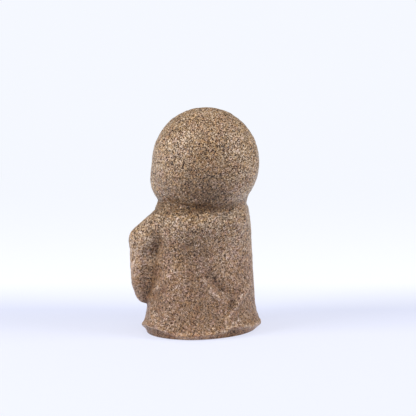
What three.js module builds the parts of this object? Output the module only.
// A small stone jizo: a child-like monk in a hanging robe, with joined hands and a bald round head.
// Millimetres, +Z up. The figure faces -Y, its left side is at +X, and the origin is the middle of its
// underside. The stone is one piece, so its skin is one closed surface: a net of rows and columns, each point
// of which is found where a ray from the spine leaves the stone for the last time.

import * as THREE from 'three';
import { mergeVertices } from 'three/addons/utils/BufferGeometryUtils.js';

const { clamp, degToRad, euclideanModulo, lerp, radToDeg, smoothstep } = THREE.MathUtils;

// Driving dimensions
const HEIGHT = 150;
const HEAD_WIDTH = 70.8;
const CROWN_RISE = 36.5;
const NECK_HEIGHT = 84;
const NECK_WIDTH = 55.5;
const WAIST_WIDTH = 65.5;
const SKIRT_WIDTH = 75;
const SKIRT_DEPTH = 61;
const NECK_DEPTH = 52;
const ROBE_FORWARD = 6;

// Head
const HEAD_RADIUS = HEAD_WIDTH / 2;
const HEAD_CENTRE = new THREE.Vector3(0, -0.5, HEIGHT - CROWN_RISE);
const CHEEK_RADIUS = 16.3;
const CHEEK = new THREE.Vector3(15.3, -13.5, HEAD_CENTRE.z - 13.3);
const CHIN_RADIUS = 13;
const CHIN = new THREE.Vector3(0, -20.5, HEAD_CENTRE.z - 14);
const CHEEK_FILLET = 6;

// Face: heights of its lines, halved and halved again from crown to chin
const CHIN_HEIGHT = 87;
const EYE_HEIGHT = (HEIGHT + CHIN_HEIGHT) / 2;
const NOSE_HEIGHT = (EYE_HEIGHT + CHIN_HEIGHT) / 2;
const MOUTH_HEIGHT = lerp(NOSE_HEIGHT, CHIN_HEIGHT, 1 / 3);
const EYE_WIDTH = 13;
const MOUTH_WIDTH = 12;
const BROW_RISE = 9;
const LID_SWELL = 1.3;
const LID_LINE_DEPTH = 2;
const LID_SAG = 1.6;
const BROW_SWELL = 0.9;
const BROW_ARCH = 2.2;
const BRIDGE_TOP = EYE_HEIGHT + 3;
const NOSE_RISE = 3.8;
const LIP_SWELL = 1.1;
const MOUTH_DEPTH = 1.7;
const MOUTH_CURL = 0.9;
const DOT_HEIGHT = EYE_HEIGHT + 13;
const DOT_WIDTH = 2.2;
const DOT_RISE = 1.4;
const FACE_EDGE = -8;
const FACE_FADE = 12;

// Robe
const SKIRT_FLARE = 5.5;
const FLARE_HEIGHT = 8;
const RIM_HEIGHT = 2.9;
const UNDERCUT_START = -0.9;
const FOOT_INSET = 3.4;
const HEM_ROLL = 0.55;
const HEM_ROLL_WIDTH = 1.1;
const HEM_LIFT_TOP = 20;
const WAIST_LOW = 8;
const WAIST_TOP = 70;
const NECK_LOW = 68;
const ROUND_UP_TO = 10;
const SQUARE_FROM = 55;
const SQUARENESS = 2.7;
const ROBE_TOP = NECK_HEIGHT + 5.5;
const CLOTH_PER_DEGREE = degToRad(SKIRT_WIDTH / 2 - 4);
const BELL = { heading: -62, spread: 45, rise: 0.4, low: 6, top: 28 };
const SHOULDER_HEADING = 32;
const SHOULDER_SPREAD = 0.75;
const SHOULDER_SWELL = 5.5;
const SWELL_HEIGHT = 78;
const SWELL_REACH = 15;
const ROLL_START = 76;
const ROLL_RADIUS = 16;
const COLLAR_START = 70;
const COLLAR_EDGE = NECK_HEIGHT - 3;
const COLLAR_DEPTH = 5;
const COLLAR_RISE = 0.6;
const COLLAR_GROOVE = 0.4;
const LAPEL_START = 122;
const LAPEL_DROP = 22;
const LAPEL_RISE = 1.5;
const LAPEL_GROOVE = 1;

// How far the hem is lifted off the ground at some headings, in order round the robe. A heading is the turn
// in degrees from the middle of the back towards the left side. The lift eases from one heading to the next.
const HEM_LIFTS = [
  [-180, 2], [-150, 0.3], [-118, 2.3], [-92, 0.4], [-66, 0.3], [-42, 1.7], [-16, 3.4], [-5, 4.2],
  [8, 1.8], [26, 0.7], [44, 0.3], [57, 0.7], [67, 2.6], [77, 4.4], [92, 4.8], [104, 3],
  [118, 0.4], [134, 2.2], [155, 0.3], [180, 2],
];

// Folds and hollows of the robe: the width of each, and its line of places, each with its heading, its height
// and how far the fold rises there, below 0 for a hollow
const FOLDS = [
  {
    width: 2.7,
    line: [
      [37, 68, 0.1], [35, 52, 0.5], [30, 41, 1.1], [24, 36.5, 1.5],
      [16, 30, 1.8], [7.5, 27, 1.8], [-4, 25.5, 1],
    ],
  },
  { width: 4.2, line: [[23, 43, -0.8], [9, 34.5, -1.9], [-3, 29.5, -1.7]] },
  { width: 8, line: [[-12, 56, 0.3], [-24, 38, 0.6]] },
  { width: 5, line: [[52, 70, -0.2], [50, 50, -0.5], [44, 34, -0.3]] },
  { width: 3.4, line: [[82, 70, -0.5], [87, 62, -1.5], [97, 54, -1.4], [112, 46, -0.6]] },
  { width: 8, line: [[24, 78, 0.5], [22, 60, 0.9], [20, 48, 0.5]] },
  { width: 7, line: [[122, 92, -0.8], [122, 82, -0.8]] },
  {
    width: 2.2,
    line: [[-46, 31, 0.8], [-25, 23.7, 1.4], [-18, 20, 1.6], [-7, 16, 1.5], [2, 11, 1.3], [5, 6, 0.8]],
  },
  { width: 2.4, line: [[-8, 24, -0.8], [-13, 22, -1.6], [-7, 18.5, -1.5], [2, 15, -0.6]] },
  { width: 3, line: [[97, 25, 1], [84.5, 34.4, 1.2], [74, 39.4, 1], [64, 45, 0.5]] },
  { width: 4.5, line: [[86, 27, -0.9], [80, 22, -0.9]] },
  { width: 2.6, line: [[96, 24, 0.7], [92, 17, 0.7], [88, 11, 0.8]] },
  { width: 4.5, line: [[18, 18, -0.6], [14, 11, -0.6]] },
  { width: 6, line: [[-34, 15, -0.7], [-46, 12, -0.7]] },
  { width: 2.8, line: [[172, 5, 0.9], [176, 44, 0.9]] },
  { width: 2.8, line: [[-168, 5, 0.9], [-174, 40, 0.9]] },
  { width: 3.2, line: [[146, 5, 1], [156, 34, 1]] },
  { width: 3.2, line: [[-146, 5, 1], [-156, 36, 1]] },
  { width: 3.2, line: [[-108, 24, 0.9], [-90, 34, 0.9], [-76, 41, 0.3]] },
];

// Sleeves and hands, given for the left side
const SHOULDER = new THREE.Vector3(24, -4, 79.5);
const ELBOW = new THREE.Vector3(36.2, -19.5, 62);
const WRIST = new THREE.Vector3(8, -34, 68.5);
const ARM_RADIUS = 9.4;
const ARM_BELLY = 0.9;
const ARM_FILLET = 3;
const WRIST_RADIUS = 6;
const SLEEVE_LOW = 25;
const SLEEVE_TIP_RADIUS = 4.8;
const SLEEVE_LEAN = -0.9;
const LEAN_REACH = 20;
const NARROWING_LEAN = 0.46;
const SLEEVE_TIP_LEAN = 3.4;
const SLEEVE_TIP_RISE = 15;
const CUFF_LOW = 59;
const CUFF_EASE = 1.15;
const CUFF_RADIUS = 5;
const SLEEVE_PLEATS = 3;
const PLEAT_RISE = 0.8;
const PALM = new THREE.Vector3(3.6, -36.4, 63);
const FINGERTIPS = new THREE.Vector3(2.4, -36.6, 80.5);
const PALM_RADIUS = 5.1;
const FINGERTIP_RADIUS = 3;
const HAND_FILLET = 4;

// The fillet between robe and sleeves is tight low down, and soft in a zone on the shoulders
const SLEEVE_FILLET = { low: 2.2, shoulder: 6 };
const SHOULDER_ZONE = { bottom: 64, full: 76, fading: 79, top: 86, front: -20, back: -10 };

// The crease between robe and head is sharp behind the left side, and softens to the right and at the front
const HEAD_FILLET = { sharp: 1.8, soft: 6 };
const SOFTENING = { left: 18, right: -2, back: -23, front: -34 };

// Net: columns around the spine, a little closer together at the front, and rows from underside to crown
const COLUMNS = 94;
const FRONT_CROWDING = 0.2;
const SKIRT_ROWS = 19;
const SHOULDER_ROWS = 6;
const FACE_ROWS = 14;
const CROWN_ROWS = 9;
const SHOULDER_RAY_HEIGHT = 75;
const LOWEST_HEAD_RAY = degToRad(-40);
const BROW_RAY = degToRad(22);
const LONGEST_RAY = 60;
const RAY_STEP = 1;

// Smooth union of two distances, with a fillet where the two forms meet.
function blend(a, b, fillet) {
  const overlap = Math.max(fillet - Math.abs(a - b), 0) / fillet;
  return Math.min(a, b) - overlap * overlap * fillet / 4;
}

// A rounded rise that is 1 at the middle and has faded out at about twice its width.
function bump(distance, width) {
  return Math.exp(-((distance / width) ** 2));
}

// Signed difference between two headings in degrees, from -180 to 180.
function turnBetween(a, b) {
  return euclideanModulo(a - b + 180, 360) - 180;
}

// The point mirrored to the left side.
function leftOf(p) {
  return new THREE.Vector3(Math.abs(p.x), p.y, p.z);
}

// Distance to a round bar whose radius changes evenly from one end to the other, plus a belly at its middle.
function bar(p, from, to, fromRadius, toRadius, belly) {
  const along = new THREE.Vector3().subVectors(to, from);
  const t = clamp(new THREE.Vector3().subVectors(p, from).dot(along) / along.lengthSq(), 0, 1);
  const middle = new THREE.Vector3().lerpVectors(from, to, t);
  return p.distanceTo(middle) - lerp(fromRadius, toRadius, t) - belly * 4 * t * (1 - t);
}

// How far the hem is lifted off the ground at a heading.
function hemLift(heading) {
  const next = HEM_LIFTS.findIndex(([at], index) => index > 0 && heading <= at);
  const [fromHeading, fromLift] = HEM_LIFTS[next - 1];
  const [toHeading, toLift] = HEM_LIFTS[next];
  return lerp(fromLift, toLift, smoothstep(heading, fromHeading, toHeading));
}

// The lift fades out with height, from the whole of it at the rim.
function liftFade(z) {
  return 1 - smoothstep(z, RIM_HEIGHT, HEM_LIFT_TOP);
}

// Half the width and half the depth of the robe at a height, without its flare.
function robeHalves(z) {
  const waist = lerp(SKIRT_WIDTH, WAIST_WIDTH, smoothstep(z, WAIST_LOW, WAIST_TOP));
  const width = waist - (WAIST_WIDTH - NECK_WIDTH) * smoothstep(z, NECK_LOW, NECK_HEIGHT + 5);
  const depth = lerp(SKIRT_DEPTH, NECK_DEPTH, smoothstep(z, 0, NECK_HEIGHT * 0.6));
  return [width / 2, depth / 2];
}

// One fold or hollow, on the robe laid out flat: a bump of the distance to the nearest part of its line.
function foldRise(heading, z, fold) {
  let nearest = Infinity;
  let rise = 0;
  for (let i = 1; i < fold.line.length; i += 1) {
    const [fromHeading, fromZ, fromRise] = fold.line[i - 1];
    const [toHeading, toZ, toRise] = fold.line[i];
    const alongX = turnBetween(toHeading, fromHeading) * CLOTH_PER_DEGREE;
    const alongZ = toZ - fromZ;
    const x = turnBetween(heading, fromHeading) * CLOTH_PER_DEGREE;
    const t = clamp((x * alongX + (z - fromZ) * alongZ) / (alongX ** 2 + alongZ ** 2), 0, 1);
    const distance = Math.hypot(x - t * alongX, z - fromZ - t * alongZ);
    if (distance < nearest) {
      nearest = distance;
      rise = lerp(fromRise, toRise, t);
    }
  }
  return rise * bump(nearest, fold.width);
}

// The collar: a band that starts beside the head and runs down at the front as two bolder lapels.
function collarRise(heading, z) {
  const shown = smoothstep(Math.abs(heading), COLLAR_START, LAPEL_START);
  const front = Math.max(Math.abs(heading) - LAPEL_START, 0) / (180 - LAPEL_START);
  const above = z - (COLLAR_EDGE - LAPEL_DROP * front);
  const band = smoothstep(above, -0.7, 0.7) * (1 - smoothstep(above, COLLAR_DEPTH - 1, COLLAR_DEPTH + 1));
  const lapel = smoothstep(front, 0, 0.5);
  const rise = lerp(COLLAR_RISE, LAPEL_RISE, lapel);
  const groove = lerp(COLLAR_GROOVE, LAPEL_GROOVE, lapel);
  return shown * (rise * band - groove * bump(above + 1.6, 1.2));
}

// The rounded shoulders: the robe swells backwards under the head, and rolls over inwards above that.
function shoulderSwell(heading, z) {
  const facing = smoothstep(Math.cos(degToRad(heading - SHOULDER_HEADING)), 0, SHOULDER_SPREAD);
  const climbed = clamp(z - ROLL_START, 0, ROLL_RADIUS * 0.98);
  const roll = ROLL_RADIUS - Math.sqrt(ROLL_RADIUS ** 2 - climbed ** 2);
  return facing * (SHOULDER_SWELL * bump(z - SWELL_HEIGHT, SWELL_REACH) - roll);
}

// Distance of the robe's skin from its axis at a heading and a height.
function robeRadius(heading, z) {
  const h = z - hemLift(heading) * liftFade(z);
  const bellFade = 1 - smoothstep(z, BELL.low, BELL.top);
  const bell = BELL.rise * bump(turnBetween(heading, BELL.heading), BELL.spread) * bellFade;
  const flare = SKIRT_FLARE * Math.exp(-Math.max(h, RIM_HEIGHT * 0.8) / FLARE_HEIGHT) + bell;
  const [halfWidth, halfDepth] = robeHalves(z);
  const turn = degToRad(heading);
  const squareness = lerp(2, SQUARENESS, smoothstep(z, ROUND_UP_TO, SQUARE_FROM));
  const acrossShare = Math.abs(Math.sin(turn)) / (halfWidth + flare);
  const backShare = Math.abs(Math.cos(turn)) / (halfDepth + flare);
  const section = (acrossShare ** squareness + backShare ** squareness) ** (-1 / squareness);
  const rolled = HEM_ROLL * bump(h - RIM_HEIGHT - 0.8 * HEM_ROLL_WIDTH, HEM_ROLL_WIDTH);
  const undercut = FOOT_INSET * (1 - smoothstep(h, UNDERCUT_START, RIM_HEIGHT));
  const folds = FOLDS.reduce((sum, fold) => sum + foldRise(heading, z, fold), 0);
  return section + rolled - undercut + folds + collarRise(heading, z) + shoulderSwell(heading, z);
}

// Distance to the robe, which is closed off at its top, inside the head.
function robe(p) {
  const back = p.y + ROBE_FORWARD;
  const heading = radToDeg(Math.atan2(p.x, back));
  return Math.max(Math.hypot(p.x, back) - robeRadius(heading, p.z), p.z - ROBE_TOP);
}

// The sleeve's hanging cloth: a rounded sheet under the forearm, low at the elbow and short at the wrist.
function sleeveSheet(q) {
  const alongX = WRIST.x - ELBOW.x;
  const alongY = WRIST.y - ELBOW.y;
  const tip = SLEEVE_LOW - SLEEVE_TIP_RADIUS;
  const hung = clamp((ELBOW.z - q.z) / (ELBOW.z - SLEEVE_LOW), 0, 1);
  const straightLean = SLEEVE_LEAN * smoothstep(ELBOW.z - q.z, 0, LEAN_REACH);
  const tipLean = SLEEVE_TIP_LEAN * (1 - smoothstep(q.z, tip, tip + SLEEVE_TIP_RISE));
  const narrowingLean = NARROWING_LEAN * (ARM_RADIUS - SLEEVE_TIP_RADIUS) * hung;
  const x = q.x + straightLean + tipLean - narrowingLean - ELBOW.x;
  const y = q.y - ELBOW.y;
  const t = clamp((x * alongX + y * alongY) / (alongX ** 2 + alongY ** 2), 0, 1);
  const low = lerp(SLEEVE_LOW, CUFF_LOW, smoothstep(t, 0, CUFF_EASE) / smoothstep(1, 0, CUFF_EASE));
  const high = lerp(ELBOW.z, WRIST.z, t);
  const beyond = Math.max(low - q.z, q.z - high, 0);
  const fall = clamp((high - q.z) / (high - low), 0, 1);
  const thickness = lerp(lerp(ARM_RADIUS, WRIST_RADIUS, t), lerp(SLEEVE_TIP_RADIUS, CUFF_RADIUS, t), fall);
  const pleats = PLEAT_RISE * fall * Math.cos(2 * Math.PI * SLEEVE_PLEATS * t);
  return Math.hypot(x - t * alongX, y - t * alongY, beyond) - thickness - pleats;
}

// One arm in its sleeve: the upper arm, and the forearm with the cloth that hangs from it.
function sleeve(p) {
  const q = leftOf(p);
  return blend(bar(q, SHOULDER, ELBOW, ARM_RADIUS, ARM_RADIUS, ARM_BELLY), sleeveSheet(q), ARM_FILLET);
}

// The joined hands, palm to palm.
function hands(p) {
  return bar(leftOf(p), PALM, FINGERTIPS, PALM_RADIUS, FINGERTIP_RADIUS, 0);
}

// Relief of one eye and its brow: a closed lid with its line, under a low arch.
function eyeRelief(x, z) {
  const fromEye = (x - EYE_WIDTH) / (EYE_WIDTH / 2);
  const lidLine = EYE_HEIGHT - LID_SAG * (1 - fromEye ** 2);
  const lidEnds = 1 - smoothstep(Math.abs(fromEye), 0.8, 1.2);
  const browLine = EYE_HEIGHT + BROW_RISE - BROW_ARCH * fromEye ** 2;
  const browEnds = 1 - smoothstep(Math.abs(fromEye), 0.9, 1.6);
  const lid = LID_SWELL * bump(Math.hypot(fromEye, (z - lidLine - 3) / 3), 1);
  const groove = LID_LINE_DEPTH * lidEnds * bump(z - lidLine, 1.3);
  return lid - groove + BROW_SWELL * browEnds * bump(z - browLine, 1.8);
}

// Relief of the nose: a low bridge that swells down to its tip and ends there.
function noseRelief(x, z) {
  const fall = smoothstep(BRIDGE_TOP - z, 0, BRIDGE_TOP - NOSE_HEIGHT);
  const tip = smoothstep(z, NOSE_HEIGHT - 2.4, NOSE_HEIGHT + 0.2);
  return NOSE_RISE * fall * tip * bump(x, lerp(2.2, 3.6, fall));
}

// Relief of the mouth: a line that turns up a little at its ends, between two soft lips.
function mouthRelief(x, z) {
  const fromMouth = x / (MOUTH_WIDTH / 2);
  const above = z - MOUTH_HEIGHT - MOUTH_CURL * fromMouth ** 2;
  const ends = 1 - smoothstep(Math.abs(fromMouth), 0.7, 1.1);
  const lips = LIP_SWELL * (bump(above - 2.2, 1.3) + bump(above + 2.3, 1.5));
  return ends * (lips - MOUTH_DEPTH * bump(above, 1.2));
}

// Relief of the whole face, which fades out towards the sides of the head.
function faceRelief(p) {
  if (p.y > FACE_EDGE) {
    return 0;
  }
  const x = Math.abs(p.x);
  const dot = DOT_RISE * bump(Math.hypot(x, p.z - DOT_HEIGHT), DOT_WIDTH);
  const relief = eyeRelief(x, p.z) + noseRelief(x, p.z) + mouthRelief(x, p.z) + dot;
  return relief * (1 - smoothstep(p.y, FACE_EDGE - FACE_FADE, FACE_EDGE));
}

// The head: a ball a little taller than it is wide, with full cheeks and a small chin.
function head(p) {
  const q = new THREE.Vector3().subVectors(p, HEAD_CENTRE);
  const tallness = q.z > 0 ? CROWN_RISE / HEAD_RADIUS : 1;
  const ball = Math.hypot(q.x, q.y, q.z / tallness) - HEAD_RADIUS;
  const cheek = leftOf(p).distanceTo(CHEEK) - CHEEK_RADIUS;
  const chin = p.distanceTo(CHIN) - CHIN_RADIUS;
  return blend(blend(ball, cheek, CHEEK_FILLET), chin, CHEEK_FILLET) - faceRelief(p);
}

// How much of the soft shoulder fillet there is at a point, from 0 to 1.
function shoulderShare(p) {
  const rising = smoothstep(p.z, SHOULDER_ZONE.bottom, SHOULDER_ZONE.full);
  const fading = 1 - smoothstep(p.z, SHOULDER_ZONE.fading, SHOULDER_ZONE.top);
  return rising * fading * smoothstep(p.y, SHOULDER_ZONE.front, SHOULDER_ZONE.back);
}

// How soft the crease under the head is at a point, from 0 to 1.
function softCreaseShare(p) {
  const toTheRight = smoothstep(-p.x, -SOFTENING.left, -SOFTENING.right);
  return Math.max(toTheRight, smoothstep(-p.y, -SOFTENING.back, -SOFTENING.front));
}

// Distance to the whole figure, below 0 inside the stone.
function figure(p) {
  const body = blend(robe(p), sleeve(p), lerp(SLEEVE_FILLET.low, SLEEVE_FILLET.shoulder, shoulderShare(p)));
  const headFillet = lerp(HEAD_FILLET.sharp, HEAD_FILLET.soft, softCreaseShare(p));
  return blend(blend(body, hands(p), HAND_FILLET), head(p), headFillet);
}

// Where a ray from the spine leaves the stone for the last time.
function lastCrossing(start, direction) {
  const at = (t) => figure(new THREE.Vector3().copy(start).addScaledVector(direction, t));
  let outside = LONGEST_RAY;
  while (at(outside - RAY_STEP) > 0 && outside > 2 * RAY_STEP) {
    outside -= RAY_STEP;
  }
  let inside = outside - RAY_STEP;
  for (let halving = 0; halving < 20; halving += 1) {
    const middle = (inside + outside) / 2;
    if (at(middle) > 0) {
      outside = middle;
    } else {
      inside = middle;
    }
  }
  return new THREE.Vector3().copy(start).addScaledVector(direction, inside);
}

// The rays of the rows above the ground, from the underside up. Rays of the robe are level, rays of the
// shoulders start ever higher on the spine and dip ever more, and rays of the head fan out from its centre.
function rayRows() {
  const hem = [0, RIM_HEIGHT / 3, (2 * RIM_HEIGHT) / 3, RIM_HEIGHT + 0.2, RIM_HEIGHT + 1.8];
  const rows = hem.map((height) => ({ height, tilt: 0 }));
  const skirtStart = RIM_HEIGHT + 4;
  for (let i = 0; i < SKIRT_ROWS; i += 1) {
    rows.push({ height: lerp(skirtStart, SHOULDER_RAY_HEIGHT, i / (SKIRT_ROWS - 1)), tilt: 0 });
  }
  for (let i = 1; i <= SHOULDER_ROWS; i += 1) {
    const share = i / SHOULDER_ROWS;
    const height = lerp(SHOULDER_RAY_HEIGHT, HEAD_CENTRE.z, share);
    rows.push({ height, tilt: Math.atan(Math.tan(LOWEST_HEAD_RAY) * share) });
  }
  for (let i = 1; i <= FACE_ROWS; i += 1) {
    rows.push({ height: HEAD_CENTRE.z, tilt: lerp(LOWEST_HEAD_RAY, BROW_RAY, i / FACE_ROWS) });
  }
  for (let i = 1; i < CROWN_ROWS; i += 1) {
    rows.push({ height: HEAD_CENTRE.z, tilt: lerp(BROW_RAY, Math.PI / 2, i / CROWN_ROWS) });
  }
  return rows;
}

// One point of the skin, from its row and its share of a turn. Rows near the hem follow its lifts.
function skinPoint(row, share) {
  const turn = (share - 0.5) * 2 * Math.PI;
  const angle = turn - FRONT_CROWDING * Math.sin(turn) - Math.PI / 2;
  const climb = clamp((row.height - SHOULDER_RAY_HEIGHT) / (HEAD_CENTRE.z - SHOULDER_RAY_HEIGHT), 0, 1);
  const start = new THREE.Vector3(0, lerp(-ROBE_FORWARD, HEAD_CENTRE.y, climb), row.height);
  if (row.height > 0) {
    start.z += hemLift(radToDeg(Math.atan2(Math.cos(angle), Math.sin(angle)))) * liftFade(row.height);
  }
  const level = Math.cos(row.tilt);
  const direction = new THREE.Vector3(Math.cos(angle) * level, Math.sin(angle) * level, Math.sin(row.tilt));
  return lastCrossing(start, direction);
}

// How much two triangles that share an edge differ in direction: 0 where they lie in one plane.
function bend(first, second) {
  return 1 - first.getNormal(new THREE.Vector3()).dot(second.getNormal(new THREE.Vector3()));
}

// Turns the diagonal of each four-sided patch of the net where that bends the skin less.
function settleDiagonals(net) {
  const position = net.getAttribute('position');
  const corner = (index) => new THREE.Vector3().fromBufferAttribute(position, index);
  const order = net.getIndex();
  for (let i = 3 * COLUMNS; i < order.count - 3 * COLUMNS; i += 6) {
    const [a, b, d, , c] = Array.from({ length: 5 }, (_, step) => order.getX(i + step));
    const [pa, pb, pc, pd] = [a, b, c, d].map(corner);
    const kept = bend(new THREE.Triangle(pa, pb, pd), new THREE.Triangle(pb, pc, pd));
    const turned = bend(new THREE.Triangle(pa, pb, pc), new THREE.Triangle(pa, pc, pd));
    if (turned < kept) {
      [a, b, c, a, c, d].forEach((vertex, step) => order.setX(i + step, vertex));
    }
  }
}

// The whole skin: a sphere's net of rows and columns, with every vertex moved to its place on the stone.
function statueGeometry() {
  const rows = rayRows();
  const net = new THREE.SphereGeometry(1, COLUMNS, rows.length + 1);
  const position = net.getAttribute('position');
  for (let index = 0; index < position.count; index += 1) {
    const fromTop = Math.floor(index / (COLUMNS + 1));
    const column = index % (COLUMNS + 1) % COLUMNS;
    let point = new THREE.Vector3(0, -ROBE_FORWARD, 0);
    if (fromTop === 0) {
      point = new THREE.Vector3(0, HEAD_CENTRE.y, HEIGHT);
    } else if (fromTop <= rows.length) {
      point = skinPoint(rows[rows.length - fromTop], column / COLUMNS);
    }
    position.setXYZ(index, point.x, point.y, point.z);
  }
  settleDiagonals(net);
  net.deleteAttribute('normal');
  net.deleteAttribute('uv');
  const skin = mergeVertices(net, 1e-4);
  skin.computeBoundingBox();
  const middle = skin.boundingBox.getCenter(new THREE.Vector3());
  skin.translate(-middle.x, -middle.y, 0);
  skin.computeVertexNormals();
  return skin;
}

const stone = new THREE.MeshStandardMaterial({ color: 0x967e6a, roughness: 0.95, metalness: 0 });

const statue = new THREE.Mesh(statueGeometry(), stone);
statue.name = 'jizo_statue';

const group = new THREE.Group();
group.add(statue);

export default group;
